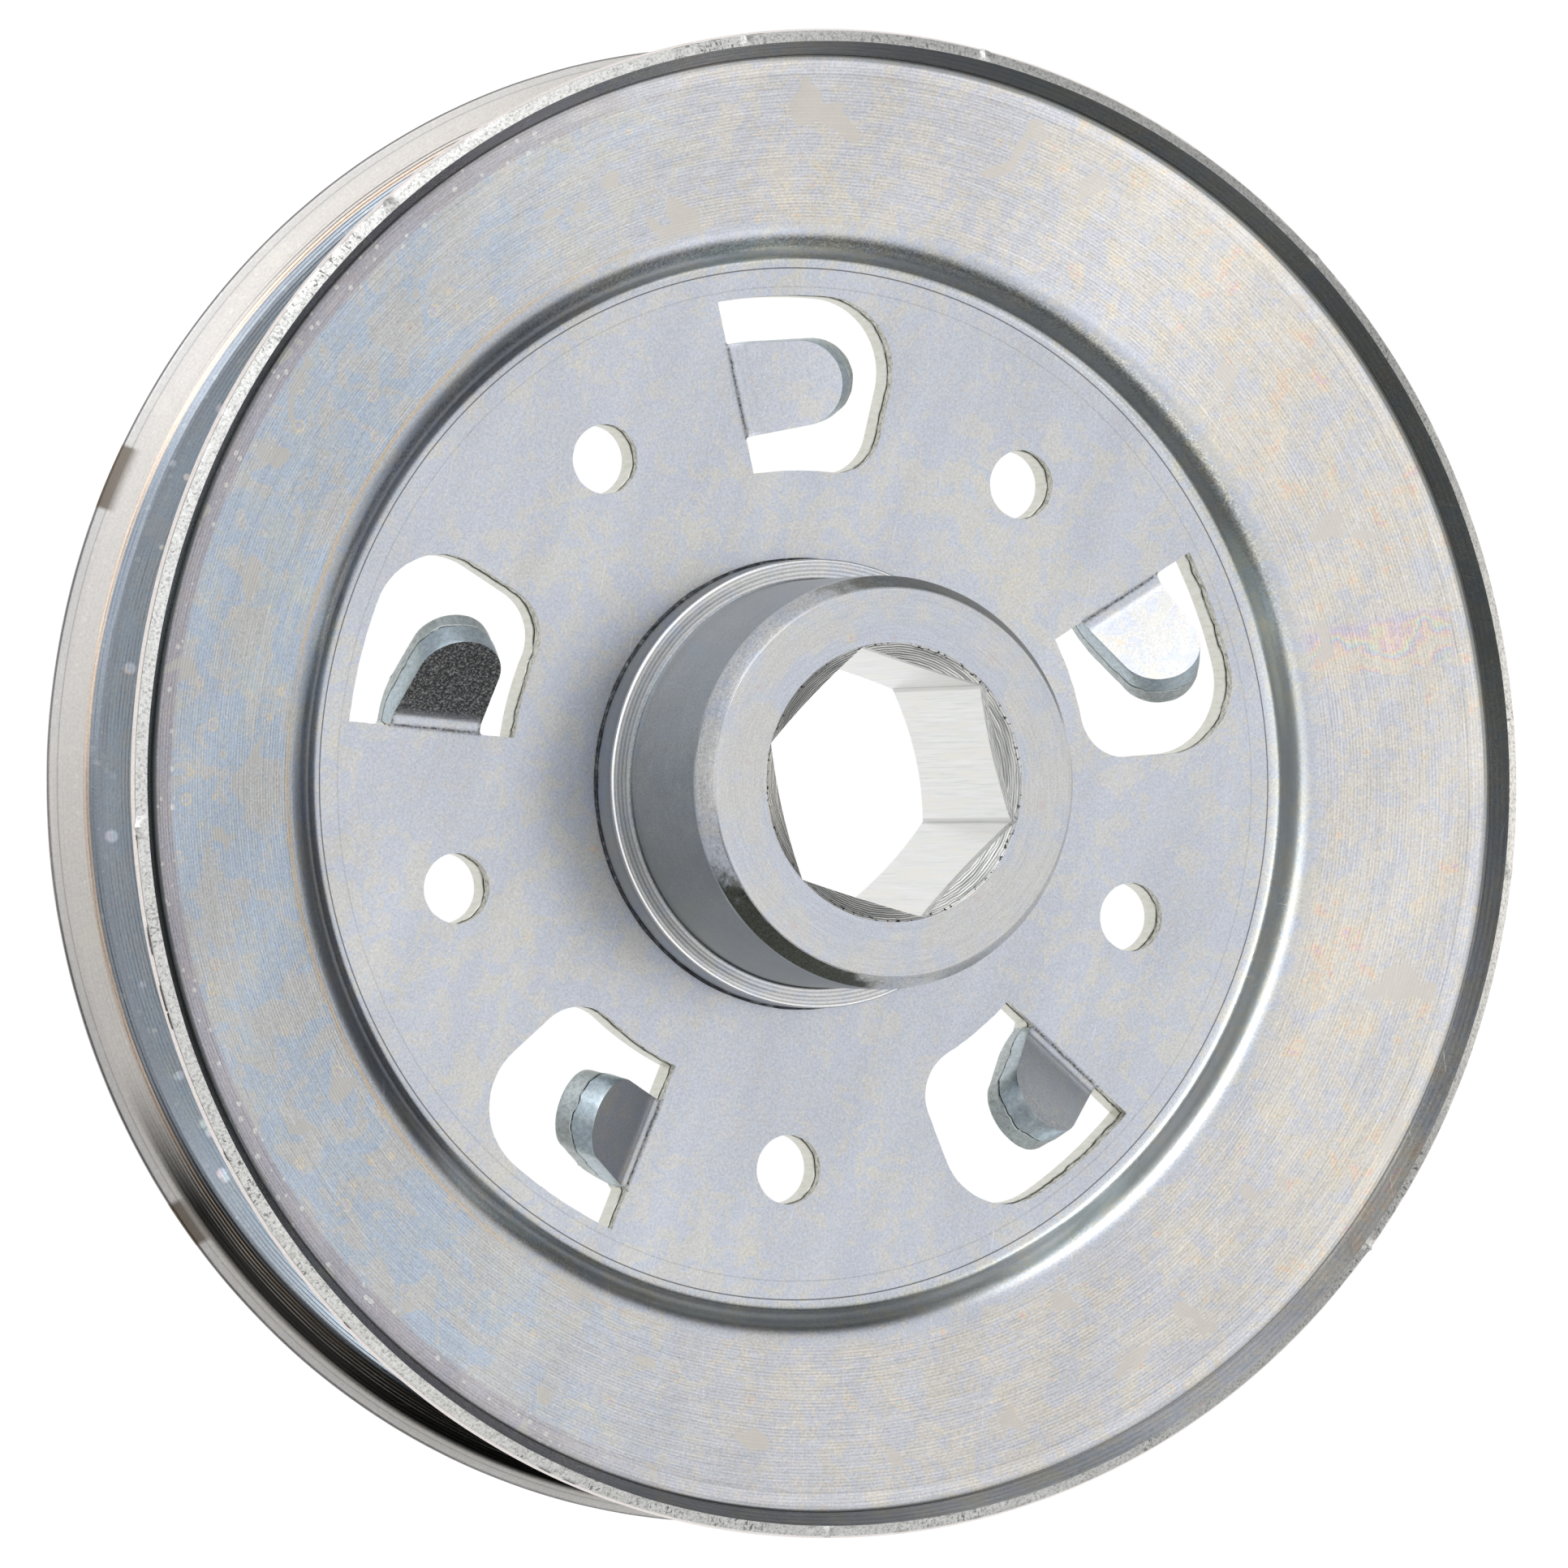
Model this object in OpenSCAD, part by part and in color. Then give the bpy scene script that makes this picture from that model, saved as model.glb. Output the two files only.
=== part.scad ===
// V-belt pulley with a hexagonal hub.
// The rim is split out of the edge of one thick steel disc and spun into a V groove.
// The turned hub sits on the front of the disc and is welded on round its collar.
// The axis of rotation is Z and the hub points up. The origin is on the axis, at the
// middle of the disc's thickness, which is also the middle of the belt groove.

/* [Disc] */
// Thickness of the disc that the rim is split out of
disc_t = 4.2; // [3.8:0.1:4.6]
// Diameter of the flat part of the disc
flat_d = 96.6; // [95.6:0.1:97.2]
// Diameter of the hole in the middle of the disc, which the hub's spigot fits
centre_hole_d = 32; // [31:0.5:36]

/* [Rim] */
// Largest diameter of the rim
rim_d = 140; // [139.6:0.1:141]
// Overall width of the rim, over both lips
rim_w = 25.4; // [25:0.1:25.8]
// Slope of each flange, measured from the plane of the disc
flange_slope = 18.7; // [18:0.1:19.4]
// Diameter where the face of each flange starts, outside the step
flange_start_d = 104.5; // [104:0.1:105]
// Distance from the middle of the disc to the start of the flange's face
flange_start_z = 5.4; // [5.2:0.1:5.6]
// Diameter of the corner between the flange's face and the inside of the lip
lip_corner_d = 135.1; // [134.4:0.1:135.6]
// Thickness of the flange
flange_t = 1.8; // [1.5:0.1:2]
// Thickness of the lip at its cut edge
lip_edge_t = 1.1; // [0.9:0.1:1.3]
// Lean of the inside of the lip, measured from the axis
lip_lean = 28; // [26:1:30]

/* [Step between disc and flange] */
// Radius of the hollow where the step leaves the disc
step_hollow_r = 2; // [1.5:0.1:2.1]
// Steepest slope of the step
step_slope = 62; // [58:1:64]

/* [Belt groove] */
// Diameter at the mouth of the groove's straight walls
groove_mouth_d = 132.2; // [131:0.1:133.6]
// Diameter at the bottom of the groove
groove_bottom_d = 102.4; // [102:0.1:104]
// Radius of the groove's bottom corners
groove_bottom_r = 1.2; // [0.6:0.1:1.6]

/* [Windows and tabs] */
// Inner diameter of the windows
window_inner_d = 58.6; // [57:0.2:59.6]
// Outer diameter of the windows
window_outer_d = 91.4; // [89:0.2:92]
// Angle from a window's centre line to its rounded end
window_round_end = 11.2; // [10.6:0.1:12]
// Slope of a window's straight end against its centre line
straight_end_slope = 15.2; // [14:0.1:16]
// Distance from the axis to the straight end's line
straight_end_offset = 1.5; // [1.2:0.1:2.2]
// Radius of the outer corner at the rounded end
outer_corner_r = 6.8; // [5:0.1:7.5]
// Radius of the inner corner at the rounded end
inner_corner_r = 4.6; // [3:0.1:5]
// Width of a tab where it joins the disc
tab_w = 8.9; // [8.4:0.1:9.2]
// Radius of a tab's round tip
tab_tip_r = 4; // [3.6:0.05:4.15]
// Length of a tab from its bend to its tip
tab_len = 10.4; // [9.4:0.1:11]
// Angle that a tab leans sideways, toward the axis
tab_lean = 4; // [0:0.5:6]
// Angle that a tab is bent forward
tab_bend = 38; // [30:1:44]
// Distance of a tab's middle along the straight end's line
tab_place = 37.2; // [36.5:0.1:38]

/* [Small holes] */
// Diameter of the small holes
hole_d = 6.5; // [6:0.1:7]
// Pitch circle diameter of the small holes
hole_pitch_d = 72.2; // [71:0.1:73]

/* [Hub] */
// Diameter of the hub's barrel
hub_d = 38; // [37.5:0.1:38.5]
// Height of the hub's front face above the disc
hub_h = 21.2; // [20:0.1:22]
// Diameter of the collar at the hub's foot
collar_d = 41.9; // [41:0.1:42.5]
// Height of the collar
collar_h = 3.8; // [3.2:0.1:4.4]
// Radial width of the chamfer round the front face
chamfer_w = 1.2; // [0.8:0.1:1.5]
// Length of that chamfer along the axis
chamfer_h = 2.3; // [1.5:0.1:2.6]
// Width across the flats of the hexagonal bore
hex_af = 22.2; // [22:0.05:22.4]
// Angle of one corner of the bore from the first small hole
hex_turn = -7.6; // [-30:0.1:30]
// Depth of the lead-in at the front of the bore
lead_in_front = 0.95; // [0.6:0.05:1.2]
// Diameter of the 45 degree lead-in at the back of the bore
lead_in_rear_d = 28.2; // [26:0.1:29]
// Depth of the hub's spigot in the disc
spigot_h = 1.5; // [1:0.1:1.8]

/* [Weld] */
// Width of the weld ring round the collar
weld_w = 0.8; // [0.5:0.05:1]
// Height of the weld ring above the disc
weld_h = 0.5; // [0.3:0.05:0.7]

/* [Hidden] */
$fn = 96;
eps = 0.01;
window_count = 5;
window_pitch = 360 / window_count;
front = disc_t / 2;
hex_corner_r = hex_af / 2 / cos(30);
zinc = [0.78, 0.80, 0.83];
turned_zinc = [0.70, 0.72, 0.75];
weld_grey = [0.35, 0.36, 0.37];

// Points along an arc from angle a0 to a1
function arc(centre, r, a0, a1, steps = 6) =
    [for (i = [0:steps]) let (a = a0 + (a1 - a0) * i / steps) centre + r * [cos(a), sin(a)]];

// An outline mirrored across the middle of the disc, running backwards
function mirrored(outline) =
    [for (i = [len(outline) - 1:-1:0]) [outline[i][0], -outline[i][1]]];

// ---- Outline of the rim, as [radius, height] points ----

flat_r = flat_d / 2;
flange_start = [flange_start_d / 2, flange_start_z];
hollow_end = [flat_r + step_hollow_r * sin(step_slope),
              front + step_hollow_r * (1 - cos(step_slope))];
// The round top of the step meets the straight part of the step and the flange's face
top_span = flange_start - hollow_end;
step_top_r = (top_span[0] - top_span[1] / tan(step_slope))
    / (sin(step_slope) - sin(flange_slope)
       - (cos(flange_slope) - cos(step_slope)) / tan(step_slope));
step_top_centre = flange_start + step_top_r * [sin(flange_slope), -cos(flange_slope)];

lip_corner = [lip_corner_d / 2,
              flange_start_z + (lip_corner_d - flange_start_d) / 2 * tan(flange_slope)];
lip_inner = [lip_corner[0] + (rim_w / 2 - lip_corner[1]) * tan(lip_lean), rim_w / 2];
lip_outer = lip_inner + lip_edge_t * [cos(lip_lean), -sin(lip_lean)];
// The rim is widest just behind the lip's cut edge
widest = [rim_d / 2, lip_outer[1] - (rim_d / 2 - lip_outer[0])];

groove_mouth = [groove_mouth_d / 2,
                flange_start_z + (groove_mouth_d - flange_start_d) / 2 * tan(flange_slope)
                - flange_t / cos(flange_slope)];
bottom_half_w = groove_mouth[1]
    - (groove_mouth_d - groove_bottom_d) / 2 * tan(flange_slope);
bottom_centre = [groove_bottom_d / 2 + groove_bottom_r,
                 bottom_half_w - groove_bottom_r * tan((90 - flange_slope) / 2)];

rim_outline = concat(
    arc([flat_r, front + step_hollow_r], step_hollow_r, -90, step_slope - 90),
    arc(step_top_centre, step_top_r, step_slope + 90, flange_slope + 90),
    [lip_corner, lip_inner, lip_outer, widest, groove_mouth],
    arc(bottom_centre, groove_bottom_r, 90 + flange_slope, 180, 4));

module disc_and_rim() {
    bore = [[centre_hole_d / 2, -front], [centre_hole_d / 2, front]];
    rotate_extrude($fn = 240) polygon(concat(bore, rim_outline, mirrored(rim_outline)));
}

// ---- Windows, tabs and small holes ----

// X runs along the centre line of window number i
module at_window(i) {
    rotate(window_pitch * (i + 0.5)) children();
}

// A window is a piece of a ring, with one straight end and one rounded end
module window_outline() {
    r_in = window_inner_d / 2;
    r_out = window_outer_d / 2;
    in_turn = asin(inner_corner_r / (r_in + inner_corner_r)) - window_round_end;
    out_turn = asin(outer_corner_r / (r_out - outer_corner_r)) - window_round_end;
    side = -90 - window_round_end;
    polygon(concat(
        arc([0, 0], r_in, straight_end_slope - asin(straight_end_offset / r_in), in_turn, 10),
        arc((r_in + inner_corner_r) * [cos(in_turn), sin(in_turn)],
            inner_corner_r, in_turn - 180, side, 8),
        arc((r_out - outer_corner_r) * [cos(out_turn), sin(out_turn)],
            outer_corner_r, side, out_turn, 8),
        arc([0, 0], r_out, out_turn, straight_end_slope - asin(straight_end_offset / r_out), 10)));
}

// A tab's shape before it is bent, with its root on the X axis
module tab_outline() {
    tip_centre = (tab_len - tab_tip_r) * [-sin(tab_lean), -cos(tab_lean)];
    tip = arc(tip_centre, tab_tip_r, 180 - tab_lean, 360 - tab_lean, 16);
    polygon(concat([[-tab_w / 2, 0]], tip, [[tab_w / 2, 0]]));
}

// A tab bent forward about the front edge of the window's straight end
module tab() {
    root_in = 1;
    root_h = disc_t - 0.05;
    rotate(straight_end_slope) translate([tab_place, -straight_end_offset, front]) {
        rotate([-tab_bend, 0, 0]) translate([0, 0, -disc_t])
            linear_extrude(disc_t) tab_outline();
        rotate([90, 0, 90]) linear_extrude(tab_w, center = true)
            polygon(concat([[root_in, 0], [0, 0]],
                           arc([0, 0], disc_t, 270 - tab_bend, 270 - acos(root_h / disc_t)),
                           [[root_in, -root_h]]));
    }
}

module sheave() {
    color(zinc) {
        difference() {
            disc_and_rim();
            for (i = [0:window_count - 1]) {
                at_window(i) linear_extrude(2 * disc_t, center = true) window_outline();
                rotate(window_pitch * i) translate([hole_pitch_d / 2, 0, 0])
                    cylinder(d = hole_d, h = 2 * disc_t, center = true);
            }
        }
        for (i = [0:window_count - 1]) at_window(i) tab();
    }
}

// ---- Hub ----

module hub_body() {
    rotate_extrude() polygon([
        [0, -spigot_h], [centre_hole_d / 2, -spigot_h], [centre_hole_d / 2, 0],
        [collar_d / 2, 0], [collar_d / 2, collar_h], [hub_d / 2, collar_h],
        [hub_d / 2, hub_h - chamfer_h], [hub_d / 2 - chamfer_w, hub_h], [0, hub_h]]);
}

// The hexagonal bore with a lead-in at each end
module hex_bore() {
    flat_r = hex_af / 2;
    rear_depth = lead_in_rear_d / 2 - flat_r;
    rotate(hex_turn) translate([0, 0, -spigot_h - 1])
        cylinder(r = hex_corner_r, h = hub_h + spigot_h + 2, $fn = 6);
    translate([0, 0, hub_h - lead_in_front])
        cylinder(r1 = flat_r, r2 = hex_corner_r, h = lead_in_front + eps);
    translate([0, 0, -spigot_h - eps])
        cylinder(r1 = lead_in_rear_d / 2, r2 = flat_r, h = rear_depth + eps);
}

module hub() {
    color(turned_zinc) translate([0, 0, front]) difference() {
        hub_body();
        hex_bore();
    }
}

// ---- Weld ----

// A low bead that hugs the foot of the collar
module hub_weld() {
    color(weld_grey) translate([0, 0, front]) rotate_extrude() intersection() {
        translate([collar_d / 2, 0]) scale([weld_w, weld_h]) circle(r = 1, $fn = 32);
        translate([collar_d / 2, 0]) square(weld_w + weld_h);
    }
}

sheave();
hub();
hub_weld();
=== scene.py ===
import math

import bpy
import numpy as np
from mathutils import Matrix, Vector, geometry


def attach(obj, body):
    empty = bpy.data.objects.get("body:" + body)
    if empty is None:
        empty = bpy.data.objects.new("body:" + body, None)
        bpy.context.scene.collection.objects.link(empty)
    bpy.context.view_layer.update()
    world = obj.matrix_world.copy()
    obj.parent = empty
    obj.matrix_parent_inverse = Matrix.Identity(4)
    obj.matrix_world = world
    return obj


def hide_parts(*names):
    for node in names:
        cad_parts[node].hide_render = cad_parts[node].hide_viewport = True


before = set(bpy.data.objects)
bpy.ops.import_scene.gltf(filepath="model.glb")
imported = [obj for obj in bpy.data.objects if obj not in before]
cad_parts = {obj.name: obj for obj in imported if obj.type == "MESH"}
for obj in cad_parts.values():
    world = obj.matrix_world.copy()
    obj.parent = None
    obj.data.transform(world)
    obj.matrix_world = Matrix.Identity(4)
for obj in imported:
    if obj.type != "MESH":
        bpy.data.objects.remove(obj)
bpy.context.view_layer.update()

# Every length below is in millimetres, in the part's frame: +Z is the axis, toward the hub's nose.

# The disc
FRONT = 2.1                           # half its thickness
CENTRE_HOLE_R = 16.0
HOLE_R, HOLE_PITCH_R = 3.25, 36.1
FLAT_R = 48.3                         # where the flat disc ends and the rim begins

# The rim
STEP_SLOPE, STEP_HOLLOW_R = math.radians(62), 1.4
FLANGE_START, FLANGE_SLOPE, FLANGE_T = (52.25, 5.4), math.radians(18.7), 1.8
CURL_START_R, CURL = 65.2, 0.026      # where the face starts to curl up, and how fast (per mm)
LIP_CORNER_R, LIP_LEAN, LIP_EDGE_T = 67.55, math.radians(28), 1.1
LIP_FOOT_ROUND = 0.5
RIM_HALF_W, RIM_R = 12.7, 70.0
WIDEST_DROP = 1.6                     # how steeply the lip's outside falls to the widest ring
SHOULDER = np.array([2.6, 2.2])       # from the groove's mouth to the shoulder over it
GROOVE_MOUTH, GROOVE_BOTTOM = 66.1, 51.2
RIM_PARTS = 504                       # points round each ring
NICKS = 9

# The windows and their tabs
WINDOWS = 5
WINDOW_R, CORNER_R = (29.3, 45.7), (4.6, 6.8)         # inner and outer
ROUND_END = math.radians(11.2)
STRAIGHT_SLOPE, STRAIGHT_OFFSET = math.radians(15.2), 1.5
WINDOW_STEP = 0.4                     # between the points of an outline
TAB_W, TAB_TIP_R, TAB_LEN, TAB_PLACE = 8.9, 4.0, 10.4, 37.2
TAB_LEAN, TAB_BEND = math.radians(4), math.radians(41)
BEND_EASE, BEND_PARTS = 1.6, 59       # the stretch of metal that turns at a tab's root
FOLD_DEPTH = 0.1

# The hub and its weld
HUB_R, HUB_TOP = 19.0, 23.3
COLLAR_R, COLLAR_TOP = 20.95, 5.9
CHAMFER_W, CHAMFER_H = 1.2, 2.3
HEX_FLAT, HEX_TURN = 11.1, math.radians(-7.6)
HEX_CORNER = HEX_FLAT / math.cos(math.radians(30))
LEAD_IN, REAR_R, SPIGOT = 0.95, 14.1, 1.5
HUB_PARTS, WELD_PARTS = 600, 420      # points round each ring
WELD_W, WELD_H = 0.2, 0.3

PLATE, CUT_WALL, CUT_EDGE = 0, 1, 2   # the sheave's material slots
BATH_SIDE, UP_SIDE = (-0.62, 0.78), (0.78, 0.62)      # two ways across the axis that the plating follows

# The studio: the walls' tone against the sine of the height looked at, then soft boxes as azimuth from +X,
# elevation, half-width (degrees), brightness and tint
WALL_TONES = (
    (0, 0.03), (0.28, 0.04), (0.4, 0.36), (0.49, 0.8), (0.7, 0.97), (0.85, 0.9), (0.95, 1.03), (1, 1.05))
DARKEST = 0.02                        # nothing in the studio is darker
WHITE, COOL, WARM = (1.0, 1.0, 1.0), (0.95, 1.0, 1.06), (1.05, 1.0, 0.93)
SOFT_BOXES = (
    (60, 13, 28, 1.6, WHITE), (-52, 3, 11, 2.6, WARM), (-104, 25, 13, 0.6, WHITE),
    (96, 24, 24, 0.75, COOL), (225, 59, 8, 0.6, WHITE), (128, 3, 13, 1.3, WARM), (192, 27, 12, 0.5, WARM))
BOX_FADE = (1.35, 0.55)               # a box fades in between these shares of its half-width
BACKDROP, FLOOR_GLOW, FLOOR_REACH = 0.93, 0.94, 3.0   # the floor reaches 3 metres each way

# The camera: its lens and sensor in mm, its place in metres, and the ways of its right, its up and its back
LENS, SENSOR = 226.45, 36.0
CAMERA_AT = (-0.2311, 0.2818, 0.8495)
CAMERA_AXES = (0.57060, -0.72096, 0.39323), (0.78244, 0.62269, 0.00628), (-0.24939, 0.30410, 0.91943)


# ---------------------------------------------------------------- numbers

def hashed(i, seed):
    """One number from 0 to 1 for each row of whole numbers."""
    h = np.uint64(seed * 7919 + 17)
    for k, mul in enumerate((73856093, 19349663, 83492791)):
        h = (h ^ (i[:, k].astype(np.int64).astype(np.uint64) * np.uint64(mul))) * np.uint64(2654435761)
        h ^= h >> np.uint64(15)
    return (h >> np.uint64(11)).astype(np.float64) / float(1 << 53)


def lumps(p, size, seed=0, octaves=2):
    """Smooth noise from -1 to 1 at points p, with lumps about size across."""
    out, amp, total = np.zeros(len(p)), 1.0, 0.0
    for o in range(octaves):
        q = p / size * 2 ** o + 11.3 * o
        i = np.floor(q)
        f = eased(q - i)
        v = np.zeros(len(p))
        for c in range(8):
            d = np.array([c & 1, c >> 1 & 1, c >> 2])
            w = np.prod(np.where(d, f, 1 - f), axis=1)
            v += w * hashed(i + d, seed + o)
        out += amp * (2 * v - 1)
        total += amp
        amp *= 0.5
    return out / total


def eased(t):
    """0 to 1 with a soft start and a soft end."""
    return t * t * (3 - 2 * t)


def arc(centre, r, a0, a1, steps):
    a = np.linspace(a0, a1, steps + 1)
    return np.stack([centre[0] + r * np.cos(a), centre[1] + r * np.sin(a)], 1)


def line(a, b, steps):
    t = np.linspace(0, 1, steps + 1)[:, None]
    return np.asarray(a) * (1 - t) + np.asarray(b) * t


def joined(*runs):
    """Runs of points put end to end, without the points that repeat."""
    pts = [np.asarray(runs[0], float)]
    for r in runs[1:]:
        r = np.asarray(r, float)
        pts.append(r[1:] if np.hypot(*(pts[-1][-1] - r[0])) < 1e-6 else r)
    return np.concatenate(pts)


def filleted(points, radii, steps=5):
    """An open polyline with a round of the given radius at each inner corner."""
    out = [np.array([points[0]], float)]
    for k in range(1, len(points) - 1):
        p, a, b = (np.asarray(points[j], float) for j in (k, k - 1, k + 1))
        if radii[k] <= 0:
            out.append(p[None])
            continue
        u, v = (a - p) / np.hypot(*(a - p)), (b - p) / np.hypot(*(b - p))
        half = math.acos(max(-1, min(1, float(u @ v)))) / 2
        reach = radii[k] / math.tan(half)
        centre = p + (u + v) / np.hypot(*(u + v)) * radii[k] / math.sin(half)
        s, e = p + u * reach - centre, p + v * reach - centre
        a0, a1 = math.atan2(s[1], s[0]), math.atan2(e[1], e[0])
        a1 += 2 * math.pi * round((a0 - a1) / (2 * math.pi))
        out.append(arc(centre, radii[k], a0, a1, steps))
    out.append(np.array([points[-1]], float))
    return np.concatenate(out)


def spaced(loop, step):
    """A closed outline walked at about the given step."""
    pts = np.vstack([loop, loop[:1]])
    seg = np.hypot(*(pts[1:] - pts[:-1]).T)
    out = []
    for p, q, d in zip(pts[:-1], pts[1:], seg):
        n = max(1, int(round(d / step)))
        out.append(p + (q - p) * (np.arange(n) / n)[:, None])
    return np.concatenate(out)


def outward(loop):
    """Unit normals of a counter-clockwise outline, pointing to its outside."""
    d = np.roll(loop, -1, 0) - np.roll(loop, 1, 0)
    n = np.stack([d[:, 1], -d[:, 0]], 1)
    return n / np.hypot(*n.T)[:, None]


def inside(points, loop):
    """Which points lie inside a closed outline."""
    x, y = points[:, 0], points[:, 1]
    hit = np.zeros(len(points), bool)
    for (x0, y0), (x1, y1) in zip(loop, np.roll(loop, -1, 0)):
        if y0 == y1:
            continue
        cross = (y0 > y) != (y1 > y)
        hit ^= cross & (x < (x1 - x0) * (y - y0) / (y1 - y0) + x0)
    return hit


def turned(p, a):
    """Points across the axis turned about it."""
    c, s = math.cos(a), math.sin(a)
    return np.stack([p[:, 0] * c - p[:, 1] * s, p[:, 0] * s + p[:, 1] * c], 1)


# ---------------------------------------------------------------- meshes

class Shape:
    """Vertices, faces and per-vertex values gathered for one mesh."""

    def __init__(self):
        self.points, self.faces, self.marks, self.slots, self.n = [], [], {}, [], 0

    def add(self, pts, **marks):
        pts = np.asarray(pts, float)
        start = self.n
        self.points.append(pts)
        self.n += len(pts)
        for k, v in marks.items():
            self.marks.setdefault(k, []).append((start, np.broadcast_to(v, len(pts))))
        return np.arange(start, self.n)

    def strip(self, a, b, slot=0):
        """Faces between two closed rings; b may hold twice as many points as a, or half."""
        n, m = len(a), len(b)
        if n == m:
            q = np.stack([a, np.roll(a, -1), np.roll(b, -1), b], 1)
            self.faces.extend(q.tolist())
            self.slots.extend([slot] * n)
        elif m == 2 * n:
            for k in range(n):
                a0, a1 = a[k], a[(k + 1) % n]
                b0, b1, b2 = b[2 * k], b[2 * k + 1], b[(2 * k + 2) % m]
                self.faces.extend([[a0, b1, b0], [a0, a1, b1], [a1, b2, b1]])
                self.slots.extend([slot] * 3)
        else:
            for k in range(m):
                b0, b1 = b[k], b[(k + 1) % m]
                a0, a1, a2 = a[2 * k], a[2 * k + 1], a[(2 * k + 2) % n]
                self.faces.extend([[a0, a1, b0], [a1, b1, b0], [a1, a2, b1]])
                self.slots.extend([slot] * 3)

    def mesh(self, name, sharp):
        pts = np.concatenate(self.points) * 0.001
        m = bpy.data.meshes.new(name)
        m.from_pydata(pts.tolist(), [], self.faces)
        for k, runs in self.marks.items():
            v = np.zeros(self.n, np.float32)
            for start, values in runs:
                v[start:start + len(values)] = values
            m.attributes.new(k, "FLOAT", "POINT").data.foreach_set("value", v)
        m.polygons.foreach_set("material_index", self.slots)
        m.validate()
        m.polygons.foreach_set("use_smooth", [True] * len(m.polygons))
        m.set_sharp_from_angle(angle=math.radians(sharp))
        m.update()
        o = bpy.data.objects.new(name, m)
        bpy.context.scene.collection.objects.link(o)
        return o


def ring_points(r, z, n):
    a = np.arange(n) * 2 * math.pi / n
    return np.stack([r * np.cos(a), r * np.sin(a), np.broadcast_to(z, n)], 1)


# ---------------------------------------------------------------- the sheave's rim

def half_profile():
    """The rim's outline from the edge of the flat disc to the bottom of the groove, front side."""
    top = np.array(FLANGE_START)
    hollow = arc((FLAT_R, FRONT + STEP_HOLLOW_R), STEP_HOLLOW_R, -math.pi / 2, STEP_SLOPE - math.pi / 2, 6)
    span = top - hollow[-1]
    t, u = math.tan(STEP_SLOPE), FLANGE_SLOPE
    r = (span[0] - span[1] / t) / (
        math.sin(STEP_SLOPE) - math.sin(u) - (math.cos(u) - math.cos(STEP_SLOPE)) / t)
    centre = top + r * np.array([math.sin(u), -math.cos(u)])
    crest = arc(centre, r, STEP_SLOPE + math.pi / 2, u + math.pi / 2, 6)
    corner = np.array([LIP_CORNER_R, top[1] + (LIP_CORNER_R - top[0]) * math.tan(u)])
    lip_in = np.array([corner[0] + (RIM_HALF_W - corner[1]) * math.tan(LIP_LEAN), RIM_HALF_W])
    lip_out = lip_in + LIP_EDGE_T * np.array([math.cos(LIP_LEAN), -math.sin(LIP_LEAN)])
    widest = np.array([RIM_R, lip_out[1] - (RIM_R - lip_out[0]) * WIDEST_DROP])
    mouth_z = top[1] + (GROOVE_MOUTH - top[0]) * math.tan(u) - FLANGE_T / math.cos(u)
    mouth = np.array([GROOVE_MOUTH, mouth_z])
    low = np.array([GROOVE_BOTTOM, mouth[1] - (GROOVE_MOUTH - GROOVE_BOTTOM) * math.tan(u)])
    # The face curls up a little toward the lip
    face = line(top, corner, 12)
    past = np.maximum(face[:, 0] - CURL_START_R, 0)
    face[:, 1] += 0.5 * CURL * past ** 2
    inner_lip = filleted([face[-2], face[-1], lip_in], [0, LIP_FOOT_ROUND, 0], 4)[1:]
    edge = line(lip_in, lip_out, 4)
    half_down = low + (mouth - low) * 0.5
    outer = filleted([lip_out, widest, mouth + SHOULDER, mouth, half_down], [0, 0.35, 0.8, 1.6, 0])
    wall = line(half_down, low + (mouth - low) * 0.06, 3)
    bottom = filleted([wall[-1], low, (low[0], 0)], [0, 1.0, 0], 4)[1:-1]
    return hollow, crest, face[:-1], inner_lip, edge, outer, wall, bottom


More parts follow.
